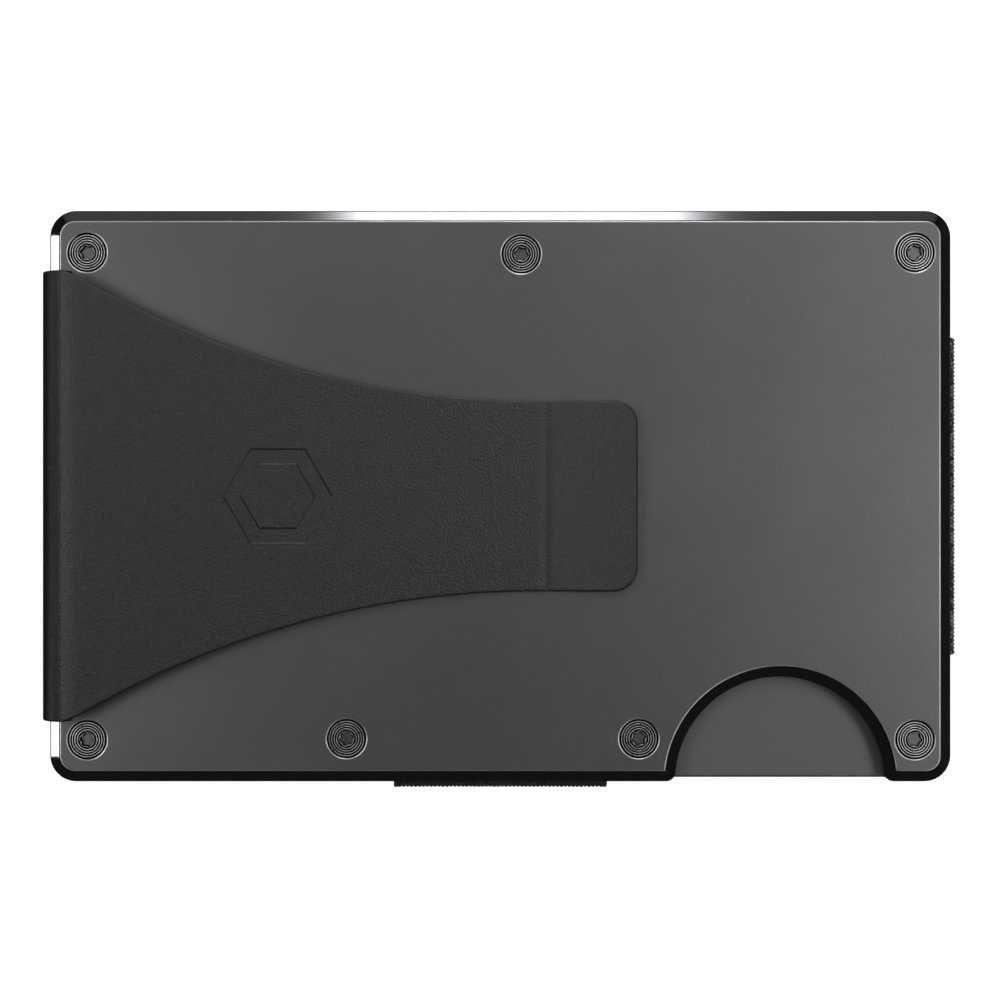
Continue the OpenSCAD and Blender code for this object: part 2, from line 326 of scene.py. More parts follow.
def fill_level(bm, z, material=0):
    """Fills the open edges that lie at one height, holes left open."""
    edges = [
        edge for edge in bm.edges
        if edge.is_boundary and all(abs(vert.co.z - z) < MERGE for vert in edge.verts)
    ]
    filled = bmesh.ops.triangle_fill(bm, edges=edges, use_beauty=True, use_dissolve=False)
    for face in filled["geom"]:
        if isinstance(face, bmesh.types.BMFace):
            face.material_index = material


def prism(name, loops, low, high):
    """A straight block over an outline, which is the first loop, with the other loops as holes."""
    bm = bmesh.new()
    for loop in loops:
        skin(bm, [[(point.x, point.y, z) for point in loop] for z in (low, high)])
    fill_level(bm, low)
    fill_level(bm, high)
    return from_bmesh(name, bm)


def ride_as(piece, body, slot, *nodes):
    """Tells the frame which body carries a piece and hides the nodes that it stands for. The slot, the
    finish's name, is not used.
    """
    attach(piece, body)
    if nodes:
        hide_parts(*nodes)


# ---------------------------------------------------------------- nodes and finishes


class Nodes:
    """Adds, sets and links the nodes of one tree."""

    def __init__(self, tree):
        self.tree = tree

    def feed(self, socket, value):
        """Links a socket from another one, or sets its value."""
        if isinstance(value, bpy.types.NodeSocket):
            self.tree.links.new(value, socket)
        else:
            socket.default_value = value

    def fill(self, node, inputs):
        """Feeds a node's inputs, named by their labels with _ for spaces."""
        for label, value in inputs.items():
            self.feed(node.inputs[label.replace("_", " ")], value)

    def add(self, kind, settings=None, **inputs):
        """A new node with its settings and inputs."""
        node = self.tree.nodes.new(kind)
        for key, value in (settings or {}).items():
            setattr(node, key, value)
        self.fill(node, inputs)
        return node

    def in_turn(self, kind, operation, values):
        """The result of an operation on values, which go to the node's inputs in turn."""
        node = self.add(kind, {"operation": operation})
        for socket, value in zip(node.inputs, values):
            self.feed(socket, value)
        return node.outputs[0]

    def math(self, operation, *values):
        """The result of an operation on numbers."""
        return self.in_turn("ShaderNodeMath", operation, values)

    def vector(self, operation, *values):
        """The result of an operation on vectors."""
        return self.in_turn("ShaderNodeVectorMath", operation, values)


def shade(base, factor):
    """A colour made lighter or darker."""
    return tuple(min(1.0, part * factor) for part in base)


class Finish(Nodes):
    """A material with its principled shader, built step by step."""

    def __init__(self, name, base, metallic, roughness):
        self.material = bpy.data.materials.new(name)
        self.material.use_nodes = True
        super().__init__(self.material.node_tree)
        self.base = base
        self.shader = self.tree.nodes["Principled BSDF"]
        self.set(Base_Color=(*base, 1), Metallic=metallic, Roughness=roughness)
        self.place = self.add("ShaderNodeTexCoord").outputs["Object"]

    def set(self, **inputs):
        """Feeds the shader's inputs."""
        self.fill(self.shader, inputs)

    def noise(self, size, detail=2.0, squeeze=(1, 1, 1)):
        """Noise with features of about the given size, made finer along the axes by some factors."""
        place = self.add("ShaderNodeMapping", Vector=self.place, Scale=squeeze).outputs["Vector"]
        return self.add("ShaderNodeTexNoise", Vector=place, Scale=1 / size, Detail=detail).outputs["Fac"]

    def attribute(self, name):
        """A number that the mesh carries."""
        return self.add("ShaderNodeAttribute", {"attribute_name": name}).outputs["Fac"]

    def spread(self, source, low, high, start=0.3, end=0.7):
        """Maps a range of the source, by default a texture's middle one, to a range of numbers."""
        return self.add(
            "ShaderNodeMapRange", Value=source, From_Min=start, From_Max=end, To_Min=low, To_Max=high,
        ).outputs["Result"]

    def tint(self, source, dark, light, start=0.3, end=0.7):
        """Base colour between two colours, by a source."""
        share = self.spread(source, 0, 1, start, end)
        mix = self.add("ShaderNodeMix", {"data_type": "RGBA"}, A=(*dark, 1), B=(*light, 1), Factor=share)
        self.set(Base_Color=mix.outputs["Result"])

    def mottle(self, source, amount):
        """Base colour up to the given amount darker and lighter, by a texture."""
        self.tint(source, shade(self.base, 1 - amount), shade(self.base, 1 + amount))

    def rough(self, source, low, high):
        """Roughness between two values, by a texture."""
        self.set(Roughness=self.spread(source, low, high))

    def bump(self, source, height):
        """Relief of the given height in metres."""
        self.set(Normal=self.add("ShaderNodeBump", Distance=height, Height=source).outputs["Normal"])


def blasted_face():
    """Fine bead blast under dark anodising."""
    finish = Finish("blasted face", bpy.context.scene.wallet_finishes.face, metallic=1.0, roughness=0.36)
    finish.mottle(finish.noise(9 * MM, detail=4), 0.04)
    finish.rough(finish.noise(0.5 * MM, detail=3), 0.34, 0.38)
    finish.bump(finish.noise(0.16 * MM, detail=3), 0.008 * MM)
    return finish.material


def polished_chamfer():
    """Mirror-cut chamfer, slightly uneven in shade."""
    base = bpy.context.scene.wallet_finishes.chamfer
    finish = Finish("polished chamfer", base, metallic=1.0, roughness=0.12)
    finish.mottle(finish.noise(0.4 * MM), 0.05)
    return finish.material


def painted_highlight_edge():
    """Painted highlight: a bright line on the rounding between face and chamfer and on the countersinks'
    lips, lighter than the face so that it shows as a gleam.
    """
    finish = Finish("burnished edge", bpy.context.scene.wallet_finishes.edge, metallic=1.0, roughness=0.28)
    finish.mottle(finish.noise(3 * MM, detail=3), 0.05)
    return finish.material


def painted_shade_line():
    """Painted shade: a near-black line along the cut edges, beside the bright edge line and in the
    countersinks.
    """
    black = shade(bpy.context.scene.wallet_finishes.chamfer, 0.15)
    return Finish("seam line", black, metallic=1.0, roughness=0.4).material


def milled_wall():
    """Satin side walls with lines that follow the cutter."""
    finish = Finish("milled wall", bpy.context.scene.wallet_finishes.face, metallic=1.0, roughness=0.34)
    lines = finish.noise(0.7 * MM, squeeze=(1, 1, 12))
    finish.mottle(lines, 0.15)
    finish.bump(lines, 0.004 * MM)
    return finish.material


def card_plate():
    """Satin anodised inner plates, brushed along their length."""
    finish = Finish("card plate", bpy.context.scene.wallet_finishes.card, metallic=1.0, roughness=0.5)
    brush = finish.noise(0.9 * MM, detail=3, squeeze=(1, 14, 14))
    finish.mottle(brush, 0.03)
    finish.rough(brush, 0.49, 0.52)
    return finish.material


def powder_coat():
    """Fine black powder coat: a pebbled skin with paler grains."""
    finish = Finish("powder coat", bpy.context.scene.wallet_finishes.coat, metallic=0.0, roughness=0.38)
    finish.set(Specular_IOR_Level=0.4)
    grain = finish.noise(0.19 * MM)
    finish.tint(grain, shade(finish.base, 0.2), shade(finish.base, 4), 0.45, 0.75)
    finish.rough(grain, 0.34, 0.42)
    finish.bump(grain, 0.05 * MM)
    return finish.material


def woven_yarn(name, fleck_with_painted_light):
    """Yarn whose stitches differ in shade at random, with fine fibres on them; the pale stitch colour is
    given per piece and carries painted light.
    """
    finish = Finish(name, bpy.context.scene.wallet_finishes.yarn, metallic=0.0, roughness=0.82)
    finish.set(Specular_IOR_Level=0.25, Sheen_Weight=0.06, Sheen_Roughness=0.5)
    finish.tint(finish.attribute("stitch_shade"), finish.base, fleck_with_painted_light, 0.1, 0.95)
    finish.bump(finish.noise(0.09 * MM), 0.03 * MM)
    return finish.material


def turned_steel():
    """Dark steel painted by the mesh's crest value: painted highlights on the turned ridges' crests and the
    recess rim, painted shade in the grooves and the recess.
    """
    finishes = bpy.context.scene.wallet_finishes
    finish = Finish("turned steel", finishes.screw, metallic=1.0, roughness=0.3)
    finish.tint(finish.attribute("crest"), finishes.groove, finishes.screw, 0, 1)
    finish.rough(finish.noise(0.4 * MM), 0.26, 0.34)
    return finish.material


# ---------------------------------------------------------------- outer plates


WALL, SHADE_LINE, CHAMFER, HIGHLIGHT_LINE, FACE = range(5)
CORNER_STEPS, HORN_STEPS, NOTCH_STEPS, HOLE_STEPS = 14, 8, 80, 64


def screw_places(side):
    """Centres of one side's screws, from the frame."""
    boxes = [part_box(f"{side}_screw_{i + 1}") for i in range(SCREW_COUNT)]
    return [((low + high) / 2).xy for low, high in boxes]


def plate_outline(inset, notched):
    """Outline of an outer plate, anticlockwise, drawn in by the given inset."""
    plates = bpy.context.scene.wallet_plates
    left, low = FRONT_LOW.x, FRONT_LOW.y
    right, high = REAR_HIGH.x, REAR_HIGH.y
    if notched:
        left = -right
    corner = plates.corner

    def rounding(x, y, start):
        return arc((x, y), corner - inset, start, start + 90, CORNER_STEPS)

    points = rounding(left + corner, low + corner, 180)
    if notched:
        points += notch_outline(inset, low)
    points += rounding(right - corner, low + corner, 270)
    points += rounding(right - corner, high - corner, 0)
    points += rounding(left + corner, high - corner, 90)
    if notched:
        half = plates.relief_half
        outer, inner = left + inset, plates.relief_x
        points += [Vector(place) for place in ((outer, half), (inner, half), (inner, -half), (outer, -half))]
    return supported(points + points[:1], plates.run_margin)[:-1]


def notch_outline(inset, low):
    """The thumb notch with its rounded horns, from left to right."""
    plates = bpy.context.scene.wallet_plates
    knee = max(plates.notch_round, inset)
    reach = plates.notch_radius + knee
    lean = math.degrees(math.asin(knee / reach))
    side = reach * math.cos(math.radians(lean))
    middle = plates.notch_x
    horn = knee - inset
    return (
        arc((middle - side, low + knee), horn, 270, 360 - lean, HORN_STEPS)
        + arc((middle, low), plates.notch_radius + inset, 180 - lean, lean, NOTCH_STEPS)
        + arc((middle + side, low + knee), horn, 180 + lean, 270, HORN_STEPS)
    )


def rim_profile(thickness):
    """The rim in section, from the joint to the face, as (distance in, height)."""
    plates = bpy.context.scene.wallet_plates
    wall, across = thickness - plates.chamfer_height, plates.chamfer_width
    small, large = plates.edge_fillet, plates.face_fillet
    corners = [(small, 0), (0, 0), (0, wall), (across, thickness), (across + large, thickness)]
    return supported(filleted(corners, [small / 2, small, large])[1:-1], plates.painted_line_width)


def bore_profile(thickness):
    """A countersunk hole in section, from the face to the joint, as (radius, height)."""
    plates = bpy.context.scene.wallet_plates
    hole, lip, mouth = plates.hole, plates.lip, plates.hole + plates.sink
    corners = [(mouth + lip, thickness), (mouth, thickness), (hole, thickness - plates.sink), (hole, 0)]
    return supported(filleted(corners, [lip, lip], 4)[1:])


def outer_plate(name, side, notched):
    """An outer plate: its chamfered rim, its countersunk holes and its two flat faces."""
    plates = bpy.context.scene.wallet_plates
    thickness = FRONT_HIGH.z - FRONT_LOW.z
    facing = 1 if notched else -1
    joint = FRONT_LOW.z if notched else REAR_HIGH.z
    wall = thickness - plates.chamfer_height
    rim, bore = rim_profile(thickness), bore_profile(thickness)

    def ring(outline, height):
        return [(point.x, point.y, joint + facing * height) for point in outline]

    # Painted light on the rim: the strip at the face's edge gets the painted highlight, and the strip beside
    # it and the edge to the wall get the painted shade line.
    def rim_finish(strip):
        middle = (rim[strip] + rim[strip + 1]) / 2
        if middle.y < wall - plates.edge_fillet:
            return WALL
        from_face = plates.chamfer_width + plates.face_fillet / 3 - middle.x
        if middle.y < wall + plates.edge_fillet / 2 or plates.painted_line_width < from_face < 2 * plates.painted_line_width:
            return SHADE_LINE
        return HIGHLIGHT_LINE if from_face <= plates.painted_line_width else CHAMFER

    def bore_finish(strip):
        # Painted highlight on the upper part of the lip, painted shade in the rest of the countersink.
        return HIGHLIGHT_LINE if bore[strip + 1].y > thickness - plates.lip_shine else SHADE_LINE

    bm = bmesh.new()
    skin(bm, [ring(plate_outline(inset, notched), height) for inset, height in rim], rim_finish)
    for place in screw_places(side):
        skin(bm, [ring(circle(place, radius, HOLE_STEPS), height) for radius, height in bore], bore_finish)
    bmesh.ops.remove_doubles(bm, verts=bm.verts, dist=MERGE)
    fill_level(bm, joint, WALL)
    fill_level(bm, joint + facing * thickness, FACE)
    piece = from_bmesh(name, bm)
    for material in (milled_wall(), painted_shade_line(), polished_chamfer(), painted_highlight_edge(), blasted_face()):
        piece.data.materials.append(material)
    return piece


def end_screw(side):
    """Centre of the front screw at the clip's end, on the given side."""
    ends = (place for place in screw_places("front") if place.x < REAR_LOW.x / 2)
    return max(ends, key=lambda place: place.y * side)


def lug_outline(side, grow=0.0):
    """Outline of one of the clip's lugs round its screw, grown by a clearance."""
    clip = bpy.context.scene.wallet_clip
    radius = clip.lug + grow
    corner = end_screw(side)
    root = side * (LEAF_HIGH.y - clip.lug / 2)
    return arc(corner, radius, 0, 180 * side, 24) + [
        Vector((corner.x - radius, root)), Vector((corner.x + radius, root))]


def clip_recess():
    """The pocket under the front outer plate that takes the clip's base and lugs."""
    clip = bpy.context.scene.wallet_clip
    room = clip.room
    half = LEAF_HIGH.y + room
    left = bpy.context.scene.wallet_plates.relief_x - MM
    right = BASE_HIGH.x + room
    low = FRONT_LOW.z - MM
    high = FRONT_LOW.z + clip.sheet + room / 5
    corners = [Vector(corner) for corner in ((left, -half), (right, -half), (right, half), (left, half))]
    block = prism("clip_recess", [corners], low, high)
    for side in (-1, 1):
        block = combined(block, prism("lug_recess", [lug_outline(side, room)], low, high), "UNION")
    return block


class WALLET_OT_front_plate(Operator):
    """Build the front outer plate with its thumb notch and the clip's recess"""

    bl_idname = "wallet.front_plate"
    bl_label = "Front Plate"

    def execute(self, context):
        plate = outer_plate("front_plate", "front", True)
        plate = combined(plate, clip_recess(), "DIFFERENCE")
        ride_as(plate, "front", "anodised_plate", "front_outer_plate")
        return {"FINISHED"}


class WALLET_OT_rear_plate(Operator):
    """Build the plain rear outer plate"""

    bl_idname = "wallet.rear_plate"
    bl_label = "Rear Plate"

    def execute(self, context):
        plate = outer_plate("rear_plate", "rear", False)
        ride_as(plate, "rear", "anodised_plate", "rear_outer_plate")
        return {"FINISHED"}


# ---------------------------------------------------------------- inner plates


def softened_copy(name, node, width):
    """A copy of a CAD node with merged faces and rounded edges."""
    bm = bmesh.new()
    bm.from_mesh(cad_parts[node].data)
    bmesh.ops.remove_doubles(bm, verts=bm.verts, dist=10 * MERGE)
    bmesh.ops.dissolve_limit(bm, angle_limit=math.radians(0.5), verts=bm.verts, edges=bm.edges)
    mesh = bpy.data.meshes.new(name)
    bm.to_mesh(mesh)
    bm.free()
    piece = put(name + "_raw", mesh)
    bevel = piece.modifiers.new("edge", "BEVEL")
    bevel.width = width
    bevel.segments = 2
    bevel.limit_method = "ANGLE"
    bevel.angle_limit = math.radians(40)
    piece = evaluated_copy(piece, name)
    bm = bmesh.new()
    bm.from_mesh(piece.data)
    mark_hard_edges(bm, math.radians(50))
    for face in bm.faces:
        face.smooth = face.smooth and max(map(abs, face.normal)) < LEVEL
    bm.to_mesh(piece.data)
    bm.free()
    return piece


class WALLET_OT_card_plates(Operator):
    """Build the two inner plates that the cards slide between"""

    bl_idname = "wallet.card_plates"
    bl_label = "Card Plates"

    def execute(self, context):
        satin = card_plate()
        for body in ("front", "rear"):
            node = f"{body}_inner_plate"
            plate = softened_copy(f"{body}_card_plate", node, context.scene.wallet_plates.card_edge)
            plate.data.materials.append(satin)
            ride_as(plate, body, "card_plate", node)
        return {"FINISHED"}


# ---------------------------------------------------------------- money clip


class ClipPath:
    """Middle line of the clip's sheet in side view, from the end of its base to its tip."""

    def __init__(self):
        clip = bpy.context.scene.wallet_clip
        half = clip.sheet / 2
        self.bend = Vector((LEAF_LOW.x + clip.bend + clip.sheet, BASE_LOW.z + clip.bend + clip.sheet))
        self.slope, self.kick = clip.slope, clip.kick
        self.radius = clip.bend + half
        self.crease_radius = clip.crease - half
        up = Vector((math.sin(self.slope), math.cos(self.slope)))
        self.arm_start = self.bend + up * self.radius
        self.crease = Vector((clip.contact_x, FRONT_HIGH.z + clip.contact_gap)) + up * clip.crease
        self.way = Vector((math.cos(self.slope), -math.sin(self.slope)))
        self.base_length = BASE_HIGH.x - self.bend.x
        self.bend_length = self.radius * (math.pi - self.slope)
        self.arm_length = (self.crease - up * self.crease_radius - self.arm_start).dot(self.way)
        self.crease_length = self.crease_radius * (self.slope + self.kick)
        tip_start = self.crease + self.crease_radius * Vector((math.sin(self.kick), -math.cos(self.kick)))
        self.tip_length = (LEAF_HIGH.x - tip_start.x) / math.cos(self.kick)
        self.lengths = [
            self.base_length, self.bend_length, self.arm_length, self.crease_length, self.tip_length]
        self.ends = [sum(self.lengths[:i + 1]) for i in range(len(self.lengths))]
        self.total = self.ends[-1]

    def at(self, s):
        """Point and outward normal at a distance along the sheet, both as (x, z)."""
        if s < self.ends[0]:
            normal = Vector((0, -1))
            return self.bend + Vector((self.base_length - s, -self.radius)), normal
        if s < self.ends[1]:
            turn = -math.pi / 2 - (s - self.ends[0]) / self.radius
            normal = Vector((math.cos(turn), math.sin(turn)))
            return self.bend + normal * self.radius, normal
        if s < self.ends[2]:
            return self.arm_start + self.way * (s - self.ends[1]), Vector((-self.way.y, self.way.x))
        turn = min(s - self.ends[2], self.crease_length) / self.crease_radius - self.slope
        normal = Vector((-math.sin(turn), math.cos(turn)))
        past = max(0.0, s - self.ends[3])
        return self.crease - normal * self.crease_radius + Vector((normal.y, -normal.x)) * past, normal

    def half_width(self, s):
        """Half of the sheet's width at a distance along it."""
        clip = bpy.context.scene.wallet_clip
        root = LEAF_HIGH.y
        if s < self.ends[1]:
            return root
        x = self.at(s)[0].x
        run, rise = clip.waist_x - self.bend.x, root - clip.tip_half
        radius = (run * run + rise * rise) / (2 * rise)
        width = clip.tip_half
        if x < clip.waist_x:
            width += radius - math.sqrt(radius * radius - (clip.waist_x - x) ** 2)
        short = clip.tip_corner - (self.total - s)
        if short > 0:
            width -= clip.tip_corner - math.sqrt(max(0.0, clip.tip_corner ** 2 - short ** 2))
        return min(width, root)

    def stations(self):
        """Distances along the sheet at which it gets a row of points, closer where it bends."""
        corner = bpy.context.scene.wallet_clip.tip_corner
        corner_start = self.total - corner
        starts = [0.0] + self.ends[:4] + [corner_start]
        found = []
        for start, end, count in zip(starts, starts[1:], (2, 36, 56, 10, 5)):
            found += [start + (end - start) * i / count for i in range(count)]
        rounding = arc((0, 0), corner, 0, 90, 14)
        return found + [corner_start + point.y for point in rounding]


def mitre_normals(outline):
    """Outward normals of a closed outline, lengthened at corners so that an inset stays even."""
    normals = []
    for i, point in enumerate(outline):
        before = (point - outline[i - 1]).normalized()
        after = (outline[(i + 1) % len(outline)] - point).normalized()
        first, second = Vector((before.y, -before.x)), Vector((after.y, -after.x))
        normals.append((first + second) / (1 + first.dot(second)))
    return normals


def clip_sheet(path):
    """The clip's sheet with rounded edges, without its lugs and mark."""
    clip = bpy.context.scene.wallet_clip
    stations = path.stations()
    sides = [Vector((s, path.half_width(s))) for s in stations]
    outline = [Vector((p.x, -p.y)) for p in sides] + sides[::-1]
    normals = mitre_normals(outline)
    half, edge = clip.sheet / 2, clip.edge
    support = edge + 0.3 * MM
    profile = filleted([(support, half), (0, half), (0, -half), (support, -half)], [edge, edge], 8)

    def placed(point, normal, inset, height):
        s, y = point - normal * inset
        (x, z), (nx, nz) = path.at(max(0.0, min(path.total, s)))
        return Vector((x + nx * height, y, z + nz * height))

    bm = bmesh.new()
    rows = skin(bm, [
        [placed(point, normal, inset, height) for point, normal in zip(outline, normals)]
        for inset, height in profile
    ])
    last = len(outline) - 1
    for row in (rows[0], rows[-1]):
        for i in range(len(stations) - 1):
            bm.faces.new((row[i], row[i + 1], row[last - i - 1], row[last - i]))
    return from_bmesh("money_clip", bm)


def arm_place(path, x):
    """Matrix of a place on the arm's outer face: X along the arm, Z out of it."""
    s = path.ends[1] + (x - path.arm_start.x) / path.way.x
    point, normal = path.at(s)
    point = point + normal * bpy.context.scene.wallet_clip.sheet / 2
    along, out = Vector((path.way.x, 0, path.way.y)), Vector((normal.x, 0, normal.y))
    matrix = Matrix((along, Vector((0, 1, 0)), out)).transposed().to_4x4()
    matrix.translation = (point.x, 0, point.y)
    return matrix


def mark_stamp(path):
    """Stamp of the generic mark: a hexagon's outline with sloped walls."""
    clip = bpy.context.scene.wallet_clip
    depth = clip.mark_depth
    slant = clip.mark_slant * depth
    outer, inner = clip.mark, clip.mark - clip.stroke
    rings = [(outer + slant, depth), (outer - slant, -depth), (inner + slant, -depth), (inner - slant, depth)]
    bm = bmesh.new()
    loops = [[(*point, z) for point in circle((0, 0), radius, 6)] for radius, z in rings]
    skin(bm, loops + loops[:1])
    stamp = from_bmesh("mark_stamp", bm)
    stamp.data.transform(arm_place(path, clip.mark_x))
    return stamp


class WALLET_OT_money_clip(Operator):
    """Build the money clip: base, lugs, bend, arm and turned-up tip in one sheet"""

    bl_idname = "wallet.money_clip"
    bl_label = "Money Clip"

    def execute(self, context):
        clip = context.scene.wallet_clip
        path = ClipPath()
        piece = clip_sheet(path)
        low, high = BASE_LOW.z, BASE_LOW.z + clip.sheet
        for side in (-1, 1):
            hole = circle(end_screw(side), clip.lug_hole, 40)
            piece = combined(piece, prism("lug", [lug_outline(side), hole], low, high), "UNION")
        piece = combined(piece, mark_stamp(path), "DIFFERENCE", math.radians(15))
        piece.data.materials.clear()
        piece.data.materials.append(powder_coat())
        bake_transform(piece)
        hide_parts("clip_base", "clip_leaf")
        return {"FINISHED"}


# ---------------------------------------------------------------- node trees


class Tree(Nodes):
    """A Geometry Nodes tree with named inputs, built step by step."""

    def __init__(self, name, inputs):
        super().__init__(bpy.data.node_groups.new(name, "GeometryNodeTree"))
        face = self.tree.interface
        face.new_socket("Geometry", in_out="INPUT", socket_type="NodeSocketGeometry")
        for label, kind in inputs:
            face.new_socket(label, in_out="INPUT", socket_type="NodeSocket" + kind)
        face.new_socket("Geometry", in_out="OUTPUT", socket_type="NodeSocketGeometry")
        self.given = self.tree.nodes.new("NodeGroupInput").outputs

    def scaled(self, vector, factor):
        """A vector times a number."""
        node = self.add("ShaderNodeVectorMath", {"operation": "SCALE"}, Scale=factor)
        self.feed(node.inputs[0], vector)
        return node.outputs[0]

    def chance(self, seed, low=0.0, high=1.0):
        """A random number for each point, between two numbers."""
        node = self.add("FunctionNodeRandomValue", {"data_type": "FLOAT"}, Seed=seed)
        for socket, value in zip(node.inputs[2:4], (low, high)):
            self.feed(socket, value)
        return node.outputs[1]

    def end(self, geometry, material):
        """Realizes the instances, sets the material and closes the tree."""
        real = self.add("GeometryNodeRealizeInstances", Geometry=geometry)
        painted = self.add("GeometryNodeSetMaterial", Geometry=real.outputs[0], Material=material)
        out = self.tree.nodes.new("NodeGroupOutput")
        self.tree.links.new(painted.outputs[0], out.inputs[0])
        return self.tree


def grown(name, mesh, tree, **values):
    """The plain mesh that a tree makes of a mesh, with the tree's inputs set by name."""
    host = put(name + "_host", mesh)
    modifier = host.modifiers.new("grow", "NODES")
    modifier.node_group = tree
    keys = {item.name: item.identifier for item in tree.interface.items_tree if item.in_out == "INPUT"}
    for label, value in values.items():
        modifier[keys[label.replace("_", " ")]] = value
    return evaluated_copy(host, name)


def points_mesh(name, points, joined=False):
    """A mesh of loose points, or of one line through them."""
    mesh = bpy.data.meshes.new(name)
    edges = [(i, i + 1) for i in range(len(points) - 1)] if joined else []
    mesh.from_pydata([tuple(point) for point in points], edges, [])
    return mesh


# ---------------------------------------------------------------- elastic


# Sizes of the weave, as shares of its pitches, width or thickness
STITCH_LENGTH, STITCH_WIDTH, STITCH_HEIGHT = 1.3, 1.02, 0.72
STITCH_LIFT = 0.14
STITCH_LEAST, STITCH_MOST = 0.9, 1.08
CORE_WIDTH, CORE_HEIGHT = 0.985, 0.62
CORD_RADIUS = 0.46


def webbing_tree():
    """Stitches in leaning rows along a path, over a core, with a cord at each edge."""
    tree = Tree("Woven Webbing", [
        ("Width", "Float"), ("Thickness", "Float"), ("Rib Pitch", "Float"), ("Stitch Pitch", "Float"),
        ("Tilt", "Float"), ("Seed", "Int"), ("Material", "Material")])
    given, math_node = tree.given, tree.math
    path = tree.add("GeometryNodeMeshToCurve", Mesh=given["Geometry"]).outputs[0]
    run = tree.add("GeometryNodeCurveLength", Curve=path).outputs[0]
    rows = math_node("ROUND", math_node("DIVIDE", run, given["Stitch Pitch"]))
    ribs = math_node("ROUND", math_node("DIVIDE", given["Width"], given["Rib Pitch"]))

    index = tree.add("GeometryNodeInputIndex").outputs[0]
    column = math_node("FLOOR", math_node("DIVIDE", index, rows))
    row = math_node("SUBTRACT", index, math_node("MULTIPLY", column, rows))
    odd = math_node("MODULO", column, 2.0)
    shifted = math_node("ADD", row, math_node("MULTIPLY_ADD", odd, 0.5, 0.25))
    along = math_node("MULTIPLY", math_node("DIVIDE", shifted, rows), run)
    middle = math_node("DIVIDE", math_node("SUBTRACT", ribs, 1.0), 2.0)
    across = math_node("MULTIPLY", math_node("SUBTRACT", column, middle), given["Rib Pitch"])
    sample = tree.add("GeometryNodeSampleCurve", {"mode": "LENGTH"}, Curves=path, Length=along).outputs
    out = tree.vector("CROSS_PRODUCT", sample["Tangent"], sample["Normal"])
    place = tree.vector("ADD", sample["Position"], tree.scaled(sample["Normal"], across))
    lift = math_node("MULTIPLY", given["Thickness"], STITCH_LIFT)
    place = tree.vector("ADD", place, tree.scaled(out, lift))
    lean = math_node("MULTIPLY", given["Tilt"], math_node("MULTIPLY_ADD", odd, -2.0, 1.0))
    way = tree.vector(
        "ADD", tree.scaled(sample["Tangent"], math_node("COSINE", lean)),
        tree.scaled(sample["Normal"], math_node("SINE", lean)))
    turn = tree.add(
        "FunctionNodeAxesToRotation", {"primary_axis": "Z", "secondary_axis": "X"},
        Primary_Axis=out, Secondary_Axis=way).outputs[0]

    stitch = tree.add("GeometryNodeMeshUVSphere", Segments=8, Rings=6, Radius=0.5).outputs[0]
    stretch = tree.add(
        "ShaderNodeCombineXYZ",
        X=math_node("MULTIPLY", given["Stitch Pitch"], STITCH_LENGTH),
        Y=math_node("MULTIPLY", given["Rib Pitch"], STITCH_WIDTH),
        Z=math_node("MULTIPLY", given["Thickness"], STITCH_HEIGHT)).outputs[0]
    stitch = tree.add("GeometryNodeTransform", Geometry=stitch, Scale=stretch).outputs[0]
    stitch = tree.add("GeometryNodeSetShadeSmooth", Geometry=stitch).outputs[0]
    count = math_node("MULTIPLY", rows, ribs)
    cloud = tree.add("GeometryNodePoints", Count=count, Position=place).outputs[0]
    placed = tree.add(
        "GeometryNodeInstanceOnPoints", Points=cloud, Instance=stitch, Rotation=turn,
        Scale=tree.chance(given["Seed"], STITCH_LEAST, STITCH_MOST)).outputs[0]
    stitches = tree.add(
        "GeometryNodeStoreNamedAttribute", {"data_type": "FLOAT", "domain": "INSTANCE"},
        Geometry=placed, Name="stitch_shade", Value=tree.chance(given["Seed"])).outputs[0]

    slab = tree.add(
        "GeometryNodeCurvePrimitiveQuadrilateral",
        Width=math_node("MULTIPLY", given["Width"], CORE_WIDTH),
        Height=math_node("MULTIPLY", given["Thickness"], CORE_HEIGHT)).outputs[0]
    core = tree.add("GeometryNodeCurveToMesh", Curve=path, Profile_Curve=slab, Fill_Caps=True).outputs[0]
    cord = tree.add(
        "GeometryNodeCurvePrimitiveCircle", Resolution=10,
        Radius=math_node("MULTIPLY", given["Thickness"], CORD_RADIUS)).outputs[0]
    inward = math_node(
        "MULTIPLY_ADD", given["Thickness"], -CORD_RADIUS, math_node("MULTIPLY", given["Width"], 0.5))
    normal = tree.add("GeometryNodeInputNormal").outputs[0]
    pieces = [stitches, core]
    for side in (-1.0, 1.0):
        offset = tree.scaled(normal, math_node("MULTIPLY", inward, side))
        moved = tree.add("GeometryNodeSetPosition", Geometry=path, Offset=offset).outputs[0]
        pieces.append(tree.add(
            "GeometryNodeCurveToMesh", Curve=moved, Profile_Curve=cord, Fill_Caps=True).outputs[0])
    join = tree.add("GeometryNodeJoinGeometry")
    for piece in pieces:
        tree.feed(join.inputs[0], piece)
    return tree.end(join.outputs[0], given["Material"])


def loop_path(out, mouth, end, depth_low, depth_high):
    """Middle line of a loop end: out along one leg, round the end and back along the other."""
    radius = (depth_high - depth_low) / 2
    middle = (depth_high + depth_low) / 2
    turn = arc((end - radius, middle), radius, -90, 90, 26)
    line = [Vector((mouth, depth_low))] + turn + [Vector((mouth, depth_high))]
    return [out * point.x + Vector((0, 0, point.y)) for point in line]


